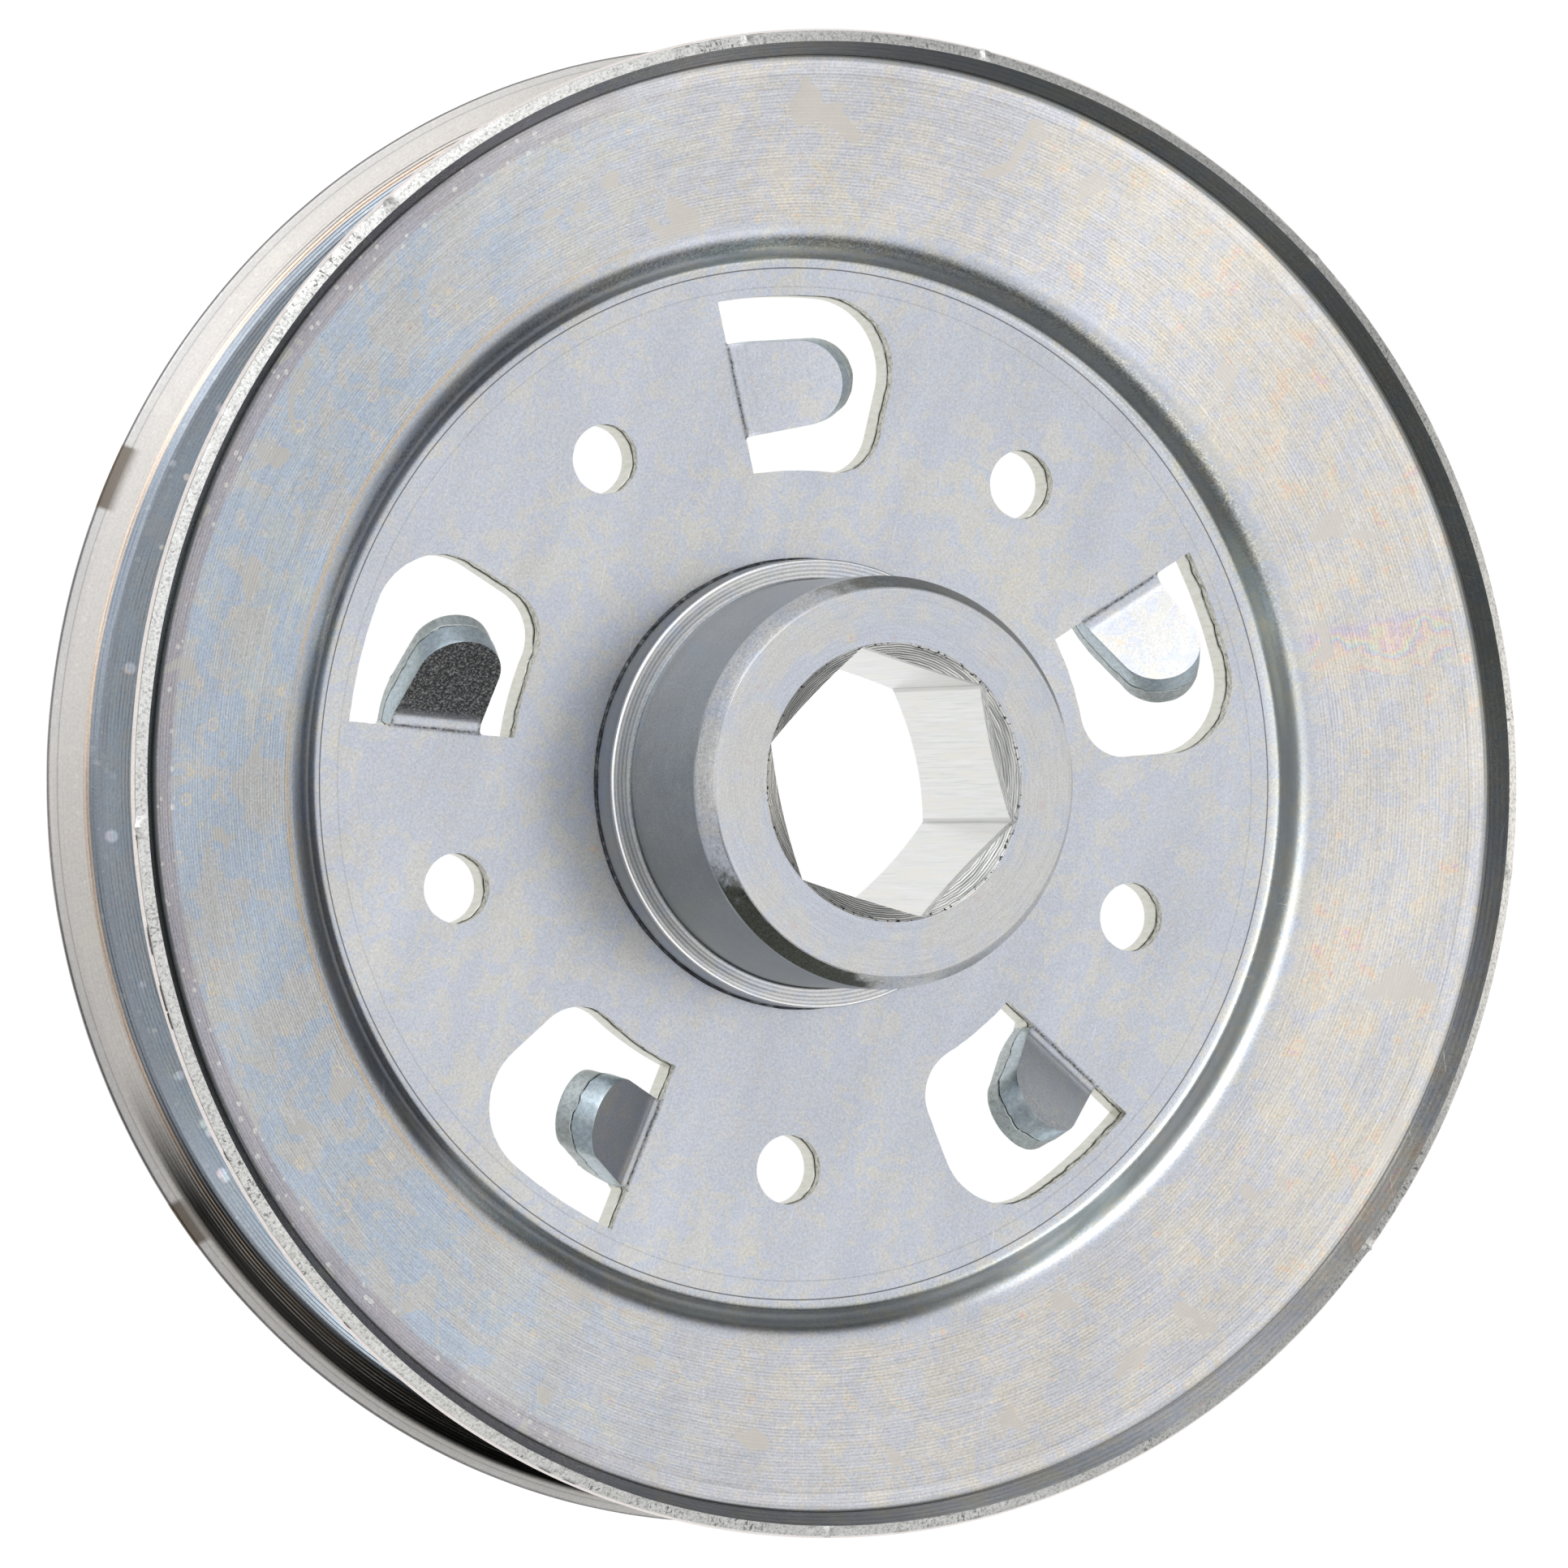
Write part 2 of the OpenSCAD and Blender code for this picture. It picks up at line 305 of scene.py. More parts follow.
def build_rim(shape):
    """Revolves the rim and returns its first and last rings, which the disc's faces join."""
    names = ("hollow", "crest", "face", "lip", "edge", "outer", "wall", "bottom")
    prof, kind = [], []
    for name, run in zip(names, half_profile()):
        run = run if not prof or np.hypot(*(prof[-1] - run[0])) > 1e-4 else run[1:]
        prof.extend(run)
        kind.extend([name] * len(run))
    prof = np.array(prof)
    # How far along the outline each ring lies past the lip's outer corner, for the materials
    walked = np.concatenate([[0], np.cumsum(np.hypot(*np.diff(prof, axis=0).T))])
    along = np.maximum(walked - walked[kind.index("outer") - 1], 0)
    last, first = None, None
    for side in (1.0, -1.0):
        pts, kinds, runs_along = prof, kind, along
        if side < 0:
            # Going back down the list, a stretch is named by the ring that it leaves
            pts, kinds, runs_along = prof[::-1] * [1, -1], kind[-1:] + kind[:0:-1], along[::-1]
        d = np.gradient(pts, axis=0)
        nrm = np.stack([d[:, 1], -d[:, 0]], 1) / np.hypot(*d.T)[:, None]
        for j, ((r, z), nv, what) in enumerate(zip(pts, nrm, kinds)):
            # The ragged cut edge has twice as many points round it
            doubled = what == "edge" and (side > 0 or kinds[j + 1] == "edge")
            m = RIM_PARTS * (2 if doubled else 1)
            p = ring_points(r, z, m)
            a = np.arange(m) * 2 * math.pi / m
            push = 0.014 * lumps(p, 14, 3)
            if what == "edge":
                push = push + 0.028 * lumps(p, 0.8, 5, 3) - nicks(a, side)
            elif what in ("lip", "outer"):
                push = push + 0.02 * lumps(p * [1, 1, 3], 5, 7)
            if abs(r - FLAT_R) < 1e-6:
                push = push * 0
            p[:, 0] += push * nv[0] * np.cos(a)
            p[:, 1] += push * nv[0] * np.sin(a)
            p[:, 2] = np.clip(p[:, 2] + push * nv[1], -RIM_HALF_W, RIM_HALF_W)
            ids = shape.add(p, along=runs_along[j])
            if last is None:
                first = ids
            else:
                shape.strip(ids, last, CUT_EDGE if what == "edge" else PLATE)
            last = ids
    return first, last


def nicks(a, side):
    """Small dents knocked into the rim's cut edge."""
    deep = np.zeros(len(a))
    for k in range(NICKS):
        at = 2 * math.pi * ((k * 0.618 + 0.13 * side) % 1)
        gap = np.abs((a - at + math.pi) % (2 * math.pi) - math.pi) * RIM_R
        deep += (0.12 + 0.14 * (k % 3)) * np.exp(-(gap / (0.25 + 0.1 * (k % 4))) ** 2)
    return deep


# ---------------------------------------------------------------- the disc, its windows and tabs

def window_loop():
    """One window's outline without its tab, counter-clockwise, with its straight end last."""
    r_in, r_out = WINDOW_R
    c_in, c_out = CORNER_R
    a_in = math.asin(c_in / (r_in + c_in)) - ROUND_END
    a_out = math.asin(c_out / (r_out - c_out)) - ROUND_END
    side = -math.pi / 2 - ROUND_END
    s_in = STRAIGHT_SLOPE - math.asin(STRAIGHT_OFFSET / r_in)
    s_out = STRAIGHT_SLOPE - math.asin(STRAIGHT_OFFSET / r_out)
    at_in = (r_in + c_in) * math.cos(a_in), (r_in + c_in) * math.sin(a_in)
    at_out = (r_out - c_out) * math.cos(a_out), (r_out - c_out) * math.sin(a_out)
    pts = joined(
        arc((0, 0), r_in, s_in, a_in, 30), arc(at_in, c_in, a_in + math.pi, side + 2 * math.pi, 16),
        arc(at_out, c_out, side, a_out, 16), arc((0, 0), r_out, a_out, s_out, 40))
    # The straight end, with the tab standing in from it
    c, s = math.cos(STRAIGHT_SLOPE), math.sin(STRAIGHT_SLOPE)

    def place(u, v):
        x, y = TAB_PLACE + u, v - STRAIGHT_OFFSET
        return np.array([x * c - y * s, x * s + y * c])

    tip = (TAB_LEN - TAB_TIP_R) * np.array([-math.sin(TAB_LEAN), -math.cos(TAB_LEAN)])
    tab = joined([(TAB_W / 2, 0)], arc(tip, TAB_TIP_R, -TAB_LEAN, -math.pi - TAB_LEAN, 28), [(-TAB_W / 2, 0)])
    tab = np.array([place(*q) for q in tab])
    outer_corner = filleted([pts[-1], tab[0], tab[1]], [0, 0.35, 0], 4)
    inner_corner = filleted([tab[-2], tab[-1], pts[0]], [0, 0.35, 0], 4)
    return spaced(joined(pts, outer_corner, tab[2:-2], inner_corner)[:-1], WINDOW_STEP)


def window_turn(k):
    return math.radians(36 + 72 * k)


def tab_frame(xy, k):
    """Places of points along and across the root of tab k: u runs outward, v is negative on the tab."""
    flat = turned(xy, -window_turn(k) - STRAIGHT_SLOPE)
    return flat[:, 0] - TAB_PLACE, flat[:, 1] + STRAIGHT_OFFSET


def from_tab_frame(u, v, k):
    """The places across the axis that have the given places in tab k's frame."""
    return turned(np.column_stack([u + TAB_PLACE, v - STRAIGHT_OFFSET]), window_turn(k) + STRAIGHT_SLOPE)


def over_tab(u, v, root=0.0):
    """Which places are on a tab, past the given distance from its root."""
    return (v < -root) & (np.abs(u) < TAB_W / 2 + 0.4) & (v > -TAB_LEN - 0.5)


def bend_tabs(p):
    """Bends the flat tabs forward about the front edge of each window's straight end."""
    # The middle line of the eased bend, walked in small steps
    grid = np.linspace(0, 1, BEND_PARTS + 1)
    turn = TAB_BEND * eased(grid)
    run_x, run_z = (
        np.concatenate([[0], np.cumsum((way(turn[1:]) + way(turn[:-1])) / 2)]) * BEND_EASE / BEND_PARTS
        for way in (np.cos, np.sin))
    q = p.copy()
    for k in range(WINDOWS):
        u, v = tab_frame(p[:, :2], k)
        on = over_tab(u, v)
        d, depth = -v[on], FRONT - p[on, 2]
        ang = TAB_BEND * eased(np.clip(d / BEND_EASE, 0, 1))
        rest = np.maximum(d - BEND_EASE, 0)
        fwd, up = (
            np.interp(np.minimum(d, BEND_EASE), grid * BEND_EASE, run) + rest * share
            for run, share in ((run_x, math.cos(TAB_BEND)), (run_z, math.sin(TAB_BEND))))
        q[on, :2] = from_tab_frame(u[on], -fwd - depth * np.sin(ang), k)
        q[on, 2] = FRONT + (up - depth * np.cos(ang))
    return q


def creased(xy):
    """How much each point lies in the fold at a tab's root, from 0 to 1."""
    out = np.zeros(len(xy))
    for k in range(WINDOWS):
        u, v = tab_frame(xy, k)
        width = 0.13 + 0.07 * np.clip(0.5 - u / TAB_W, 0, 1)
        wander = 0.05 * lumps(np.column_stack([xy, np.zeros(len(xy))]), 0.7, 31 + k)
        near = np.exp(-((v + 0.12 + wander) / width) ** 2)
        out = np.maximum(out, near * (np.abs(u) < TAB_W / 2 + 0.15))
    return out


def crease_rows():
    """Rows of points along each tab's root, close together where the metal turns."""
    out = []
    gap = 0.42
    for k in range(WINDOWS):
        for v in (0.5, 0.2, 0.06, -0.04, -0.12, -0.2, -0.3, -0.45, -0.65, -0.9, -1.2, -1.6, -2.1):
            reach = TAB_W / 2 + (1.2 if v > 0.3 else 0.2 if v > 0 else -gap)
            u = np.arange(-reach, reach + 0.01, gap)
            out.append(from_tab_frame(u, np.full(len(u), v), k))
    return np.concatenate(out)


# A punched wall from front to back: how far down it lies (1 is the crack, 3 the back), how far it stands
# back from the outline, how ragged it is, and whether it is torn. A window is torn at its front, a tab at
# its back.
WINDOW_WALL = (
    (0, 0, 0.035, 1), (0.05, 0.03, 0.06, 1), (0.3, 0.1, 0.11, 1), (0.6, 0.14, 0.12, 1), (0.85, 0.12, 0.08, 1),
    (1.0, 0.17, 0.05, 1), (1.06, 0.02, 0.02, 0), (1.5, 0, 0, 0), (2.2, 0, 0, 0), (2.65, 0, 0, 0),
    (2.87, 0.05, 0, 0), (2.96, 0.13, 0, 0), (3.0, 0.22, 0, 0))
TAB_WALL = (
    (0, 0.02, 0.01, 0), (0.04, 0, 0.01, 0), (0.3, 0, 0, 0), (0.6, 0, 0.01, 0), (0.94, 0.01, 0.02, 0),
    (1.0, 0.16, 0.04, 1), (1.08, 0.05, 0.05, 1), (1.4, 0.1, 0.09, 1), (1.8, 0.14, 0.1, 1),
    (2.3, 0.16, 0.1, 1), (2.7, 0.18, 0.08, 1), (2.9, 0.22, 0.05, 1), (3.0, 0.28, 0.04, 1))


def wall_rows(base, nrm, on_tab, seed):
    """Rows of a punched hole's wall, from the front: points across, heights, crack and torn marks."""
    flat = np.column_stack([base, np.zeros(len(base))])
    wander = 0.09 * lumps(flat, 5.5, seed, 1) + 0.07 * lumps(flat, 0.9, seed + 2, 3)
    rough = lumps(flat, 0.7, seed + 1, 3)
    past = 1.06   # just behind the crack
    for window, tab in zip(WINDOW_WALL, TAB_WALL):
        t, into, rag, torn = (np.where(on_tab > 0, b, a) for a, b in zip(window, tab))
        crack_at = np.where(on_tab > 0, 0.56, 0.38) + wander
        below = crack_at * past + (1 - crack_at * past) * (t - past) / (3 - past)
        height = FRONT - 2 * FRONT * np.where(t <= past, crack_at * t, below)
        place = base - nrm * (into + rag * rough)[:, None]
        yield place, height, (t == 1.0).astype(float), torn.astype(float)


def face_points(xy, z):
    """Points on a face of the disc, with the tabs bent and the folds pressed in, and the folds' depth."""
    p = np.column_stack([xy, np.full(len(xy), z)])
    fold = creased(xy) if z > 0 else np.zeros(len(xy))
    p[:, 2] -= FOLD_DEPTH * fold
    return bend_tabs(p), fold


def build_disc(shape, ring_front, ring_back):
    """The disc's walls and faces; the two rings are the rim's, at the front and at the back."""
    loops = [turned(window_loop(), window_turn(k)) for k in range(WINDOWS)]
    for k in range(WINDOWS):
        c = HOLE_PITCH_R * np.array([math.cos(math.radians(72 * k)), math.sin(math.radians(72 * k))])
        loops.append(arc(c, HOLE_R, 0, 2 * math.pi, 72)[:-1])
    centre = arc((0, 0), CENTRE_HOLE_R, 0, 2 * math.pi, 240)[:-1]
    rings = []
    for k, loop in enumerate(loops):
        nrm = -outward(loop)   # out of the metal, into the hole
        on_tab = np.zeros(len(loop))
        if k < WINDOWS:
            on_tab = over_tab(*tab_frame(loop, k), 0.3).astype(float)
        fold = creased(loop)
        ids = []
        for xy, z, crack, torn in wall_rows(loop, nrm, on_tab, 20 + k):
            p = np.column_stack([xy, z])
            top = len(ids) == 0
            if top:
                p[:, 2] -= FOLD_DEPTH * fold
            ids.append(shape.add(
                bend_tabs(p), crack=crack, torn=torn, on_tab=on_tab, fold=fold * top, leaned=on_tab))
        for a, b in zip(ids[:-1], ids[1:]):
            shape.strip(a, b, CUT_WALL)
        rings.append((loop, ids[0], ids[-1]))
    c_front = shape.add(np.column_stack([centre, np.full(len(centre), FRONT)]))
    c_back = shape.add(np.column_stack([centre, np.full(len(centre), -FRONT)]))
    shape.strip(c_front, c_back, PLATE)
    rings.append((centre, c_front, c_back))
    rim = ring_points(FLAT_R, 0, RIM_PARTS)[:, :2]

    # Points spread over the metal between the outlines, and closer together along the folds
    g = np.arange(-48, 48.01, 1.25)
    gx, gy = np.meshgrid(g, g * math.sqrt(3) / 2 * 1.15)
    gx = gx + 0.62 * (np.arange(len(g)) % 2)[:, None]
    grid = np.stack([gx.ravel(), gy.ravel()], 1)
    r = np.hypot(*grid.T)
    grid = grid[(r > CENTRE_HOLE_R + 0.8) & (r < FLAT_R - 0.7)]
    for k in range(WINDOWS):
        u, v = tab_frame(grid, k)
        grid = grid[~((np.abs(u) < TAB_W / 2 + 1.4) & (v > -2.6) & (v < 0.9))]
    solid = loops + [centre]

    def clear(points, gap):
        near = np.zeros(len(points), bool)
        for l in solid:
            d2 = ((points[:, None] - l[None, :]) ** 2).sum(2).min(1)
            near |= (d2 < gap ** 2) | inside(points, l)
        return points[~near]

    grid = np.concatenate([clear(grid, 0.75), clear(crease_rows(), 0.16)])
    flat = np.concatenate([rim] + [l for l, _, _ in rings] + [grid])
    edges, k = [], 0
    for m in [RIM_PARTS] + [len(l) for l, _, _ in rings]:
        edges += [(k + j, k + (j + 1) % m) for j in range(m)]
        k += m
    got = geometry.delaunay_2d_cdt([Vector(p) for p in flat], edges, [], 0, 1e-7)
    tris = np.array(got[2])
    mid = flat[tris].mean(1)
    keep = np.hypot(*mid.T) < FLAT_R
    for l in solid:
        keep &= ~inside(mid, l)
    tris = tris[keep]
    turn = np.cross(flat[tris[:, 1]] - flat[tris[:, 0]], flat[tris[:, 2]] - flat[tris[:, 0]]) < 0
    tris[turn] = tris[turn][:, ::-1]
    for z, ring, which in ((FRONT, ring_front, 1), (-FRONT, ring_back, 2)):
        p, fold = face_points(grid, z)
        p[:, 2] += 0.014 * lumps(p, 9, 40 + which) * np.clip((FLAT_R - np.hypot(*grid.T)) / 4, 0, 1)
        leaned = np.zeros(len(grid))
        for k in range(WINDOWS):
            u, v = tab_frame(grid, k)
            leaned += (np.abs(u) < TAB_W / 2) * np.clip((-v - 0.9) / 1.2, 0, 1) * (v > -TAB_LEN)
        ids = shape.add(p, fold=fold, leaned=leaned)
        lookup = np.concatenate([ring] + [rg[which] for rg in rings] + [ids])
        t = lookup[tris] if which == 1 else lookup[tris][:, ::-1]
        shape.faces.extend(t.tolist())
        shape.slots.extend([PLATE] * len(t))


def build_sheave():
    shape = Shape()
    build_disc(shape, *build_rim(shape))
    return shape.mesh("sheave_metal", 28)


# ---------------------------------------------------------------- the hub and its weld

def hex_radius(a):
    """The hexagon's radius at angles a."""
    k = (a - HEX_TURN) % (math.pi / 3) - math.pi / 6
    return HEX_FLAT / np.cos(k)


def build_hub():
    shape, n = Shape(), HUB_PARTS
    a = HEX_TURN + np.arange(n) * 2 * math.pi / n
    unit = np.stack([np.cos(a), np.sin(a), np.zeros(n)], 1)
    hexr = hex_radius(a)

    def ring(r, z, push=0.0, lead=0.0):
        p = unit * np.broadcast_to(r, n)[:, None] + np.array([0, 0, 1]) * np.broadcast_to(z, n)[:, None]
        if push:
            p += unit * (push * lumps(p, 1.6, 60, 3))[:, None]
        return shape.add(p, lead=lead)

    outer = filleted(
        [(HEX_CORNER, HUB_TOP), (HUB_R - CHAMFER_W, HUB_TOP), (HUB_R, HUB_TOP - CHAMFER_H),
         (HUB_R, COLLAR_TOP), (COLLAR_R, COLLAR_TOP), (COLLAR_R, FRONT), (CENTRE_HOLE_R, FRONT),
         (CENTRE_HOLE_R, FRONT - SPIGOT)],
        [0, 0.12, 0.5, 0.25, 0.28, 0, 0, 0], 4)
    fine = [outer[:1]]
    for p, q in zip(outer[:-1], outer[1:]):
        d = np.hypot(*(q - p))
        fine.append(line(p, q, max(1, int(math.ceil(d / 1.4))))[1:])
    fine = np.concatenate(fine)
    first = last = None
    for r, z in fine:
        rough = 0.012 if z > FRONT + 0.1 and r > HUB_R - CHAMFER_W - 0.3 else 0.0
        ids = ring(r, z, rough)
        if last is None:
            first = ids
        else:
            shape.strip(ids, last, 0)
        last = ids
    # The back face, the rear lead-in, the flats and the front lead-in
    bottom = FRONT - SPIGOT
    rear_cut = bottom + (REAR_R - hexr)
    front_cut = HUB_TOP - LEAD_IN * (HEX_CORNER - hexr) / (HEX_CORNER - HEX_FLAT)
    rows = [(REAR_R + (hexr - REAR_R) * t, bottom + (rear_cut - bottom) * t) for t in (0, 0.5, 1)]
    rows += [(hexr, rear_cut + (front_cut - rear_cut) * t) for t in np.linspace(0, 1, 13)[1:-1]]
    lead_from = len(rows)
    out, up = HEX_CORNER - hexr, HUB_TOP - front_cut
    rows += [(hexr + out * t, front_cut + up * t) for t in (0, 0.25, 0.5, 0.75)]
    for k, (r, z) in enumerate(rows):
        ids = ring(r, z, lead=float(k >= lead_from))
        shape.strip(ids, last, 1)
        last = ids
    shape.strip(first, last, 1)
    return shape.mesh("hub_metal", 24)


def build_weld():
    """The flash pressed out round the collar's foot: a low lumpy bead."""
    shape = Shape()
    size = 1 + 0.22 * lumps(ring_points(COLLAR_R, FRONT, WELD_PARTS), 2.2, 80, 3)
    rows = []
    for t in np.linspace(0, 1, 11):
        ang = t * math.pi / 2
        height = FRONT + WELD_H * size * np.sin(ang) ** 0.8
        p = ring_points(COLLAR_R + WELD_W * size * np.cos(ang), height, WELD_PARTS)
        if 0 < t < 1:
            p[:, 2] += 0.08 * lumps(p, 0.7, 81, 2)
            p[:, 2] = np.maximum(p[:, 2], FRONT + 0.02)
        rows.append(shape.add(p))
    rows.append(shape.add(ring_points(COLLAR_R - 0.05, FRONT, WELD_PARTS)))
    for p, q in zip(rows, rows[1:] + rows[:1]):
        shape.strip(p, q, 0)
    return shape.mesh("weld_bead", 60)


# ---------------------------------------------------------------- materials

class Nodes:
    """Short calls for building one node material. Places and sizes are in mm."""

    def __init__(self, name):
        self.mat = bpy.data.materials.new(name)
        self.mat.use_nodes = True
        self.nt = self.mat.node_tree
        self.nt.nodes.clear()
        self.bsdf = self.new("ShaderNodeBsdfPrincipled")
        self.link(self.bsdf.outputs[0], self.new("ShaderNodeOutputMaterial").inputs["Surface"])
        scale = self.new("ShaderNodeVectorMath", operation="SCALE")
        self.link(self.new("ShaderNodeTexCoord").outputs["Object"], scale.inputs[0])
        scale.inputs["Scale"].default_value = 1000
        self.mm = scale.outputs[0]

    def new(self, kind, **props):
        node = self.nt.nodes.new(kind)
        for k, v in props.items():
            setattr(node, k, v)
        return node

    def link(self, a, b):
        self.nt.links.new(a, b)

    def feed(self, socket, value):
        if isinstance(value, bpy.types.NodeSocket):
            self.link(value, socket)
        elif hasattr(value, "__len__") and len(value) == 3 and socket.type == "RGBA":
            socket.default_value = (*value, 1)
        else:
            socket.default_value = value

    def math(self, op, a, b=0, c=0):
        node = self.new("ShaderNodeMath", operation=op)
        for s, v in zip(node.inputs, (a, b, c)):
            self.feed(s, v)
        return node.outputs[0]

    def chain(self, op, first, *others):
        for v in others:
            first = self.math(op, first, v)
        return first

    def add(self, *terms):
        return self.chain("ADD", *terms)

    def times(self, *terms):
        return self.chain("MULTIPLY", *terms)

    def most(self, *terms):
        return self.chain("MAXIMUM", *terms)

    def fit(self, value, by, plus):
        """value * by + plus"""
        return self.math("MULTIPLY_ADD", value, by, plus)

    def rest(self, value):
        """1 - value"""
        return self.math("SUBTRACT", 1, value)

    def wave(self, value):
        return self.math("SINE", value)

    def swing(self, value, size):
        """A noise value moved to swing about zero, size either way at most."""
        return self.fit(value, 2 * size, -size)

    def smooth(self, value, low, high):
        """0 at low, 1 at high, with a soft turn between; low may be the larger."""
        node = self.new("ShaderNodeMapRange", interpolation_type="SMOOTHSTEP")
        self.feed(node.inputs[0], value)
        node.inputs[1].default_value, node.inputs[2].default_value = low, high
        return node.outputs[0]

    def band(self, value, low, high, soft):
        """1 between low and high, 0 outside, with soft edges."""
        return self.times(
            self.smooth(value, low - soft, low + soft), self.smooth(value, high + soft, high - soft))

    def vec(self, x, y, z):
        node = self.new("ShaderNodeCombineXYZ")
        for s, v in zip(node.inputs, (x, y, z)):
            self.feed(s, v)
        return node.outputs[0]

    def polar(self):
        """Sets x, y, z, the radius r and the way outward from the axis (cos, sin); gives r and z."""
        node = self.new("ShaderNodeSeparateXYZ")
        self.link(self.mm, node.inputs[0])
        self.x, self.y, self.z = node.outputs
        self.r = self.math("SQRT", self.add(self.times(self.x, self.x), self.times(self.y, self.y)))
        self.cos, self.sin = self.math("DIVIDE", self.x, self.r), self.math("DIVIDE", self.y, self.r)
        return self.r, self.z

    def side(self, way, *more):
        """How far a place lies along a way across the axis, plus more terms."""
        return self.add(self.times(self.x, way[0]), self.times(self.y, way[1]), *more)

    def toward(self, way):
        """The cosine of the angle between the way outward and another way: 1 where they are the same."""
        return self.add(self.times(self.cos, way[0]), self.times(self.sin, way[1]))

    def round_axis(self, turns, across, detail=2, rough=0.5):
        """Noise drawn out round the axis: turns lumps to a radian, across lumps to a mm."""
        at = self.vec(self.times(self.cos, turns), self.times(self.sin, turns), self.times(self.r, across))
        return self.noise(1, detail, rough, at=at, w=self.times(self.z, across))

    def noise(self, scale, detail=2, rough=0.5, distortion=0, at=None, w=None):
        node = self.new("ShaderNodeTexNoise", noise_dimensions="3D" if w is None else "4D")
        self.feed(node.inputs["Vector"], self.mm if at is None else at)
        for k, v in (("Scale", scale), ("Detail", detail), ("Roughness", rough), ("Distortion", distortion)):
            self.feed(node.inputs[k], v)
        if w is not None:
            self.feed(node.inputs["W"], w)
        return node.outputs["Fac"]

    def drops(self, pitch, size, share):
        """Round drops, 1 at the middle and 0 at the rim, in a share of the cells a pitch apart."""
        node = self.new("ShaderNodeTexVoronoi")
        self.feed(node.inputs["Vector"], self.mm)
        node.inputs["Scale"].default_value = 1 / pitch
        split = self.new("ShaderNodeSeparateColor")
        self.link(node.outputs["Color"], split.inputs[0])
        reach = self.times(self.smooth(split.outputs[0], 1 - share, 1), size / pitch)
        inside_drop = self.rest(self.math("DIVIDE", node.outputs["Distance"], self.add(reach, 0.0001)))
        return self.most(inside_drop, 0)

    def scratches(self, turn, length, width, share):
        """Short thin marks that run one way, 1 on a mark."""
        c, s = math.cos(turn), math.sin(turn)
        u = self.side((c, s))
        v = self.add(self.times(self.y, c), self.times(self.x, -s))
        bent = self.add(v, self.swing(self.noise(0.05, 1), 1.2))
        at = self.vec(self.times(u, 1 / length), self.times(bent, 1 / width), turn * 9)
        marks = self.noise(1, 1, 0.3, at=at)
        return self.smooth(marks, share, share + 0.03)

    def ramp(self, fac, *stops):
        """Colours along a value, each stop a position with a colour or a grey."""
        node = self.new("ShaderNodeValToRGB")
        set_stops(node, stops)
        self.feed(node.inputs[0], fac)
        return node.outputs[0]

    def mix(self, fac, a, b, blend="MIX"):
        node = self.new("ShaderNodeMix", data_type="RGBA", blend_type=blend, clamp_factor=True)
        self.feed(node.inputs["Factor"], fac)
        self.feed(node.inputs[6], a)
        self.feed(node.inputs[7], b)
        return node.outputs[2]

    def coats(self, colour, *layers):
        """Layers laid over a colour one after another, each a cover from 0 to 1 and its colour."""
        for cover, over in layers:
            colour = self.mix(cover, colour, over)
        return colour

    def shade(self, colour, gain):
        """A colour made lighter or darker by a number that varies over the surface."""
        return self.tinted(colour, self.vec(gain, gain, gain))

    def tinted(self, colour, tint):
        return self.mix(1, colour, tint, "MULTIPLY")

    def attribute(self, name):
        return self.new("ShaderNodeAttribute", attribute_name=name).outputs["Fac"]

    def bump(self, height, distance):
        """A bump whose height is in units of the distance, which is in mm."""
        node = self.new("ShaderNodeBump")
        self.feed(node.inputs["Height"], height)
        node.inputs["Strength"].default_value = 1
        node.inputs["Distance"].default_value = distance * 0.001
        return node.outputs[0]

    def film(self, thickness):
        """The clear passivated film's colours over zinc, from bare grey to the bands of a thick stain."""
        return self.ramp(
            thickness,
            (0.00, 0.6), (0.22, (0.585, 0.59, 0.61)), (0.33, (0.545, 0.575, 0.65)),
            (0.42, (0.56, 0.585, 0.635)), (0.46, (0.6, 0.6, 0.605)), (0.57, (0.61, 0.605, 0.585)),
            (0.63, (0.64, 0.62, 0.56)), (0.68, (0.7, 0.58, 0.48)), (0.72, (0.64, 0.52, 0.58)),
            (0.76, (0.53, 0.55, 0.66)), (0.81, (0.5, 0.6, 0.66)), (0.86, (0.57, 0.64, 0.57)),
            (0.91, (0.67, 0.63, 0.5)), (0.95, (0.68, 0.54, 0.55)), (1.00, (0.54, 0.53, 0.67)))

    def finish(self, **sockets):
        for k, v in sockets.items():
            self.feed(self.bsdf.inputs[k.replace("_", " ")], v)
        return self.mat


def set_stops(ramp, stops):
    """Writes a colour ramp's stops, each a position with a colour or a grey."""
    e = ramp.color_ramp.elements
    while len(e) < len(stops):
        e.new(0.5)
    for el, (position, tone) in zip(e, stops):
        el.position = position
        el.color = (*tone, 1) if hasattr(tone, "__len__") else (tone, tone, tone, 1)


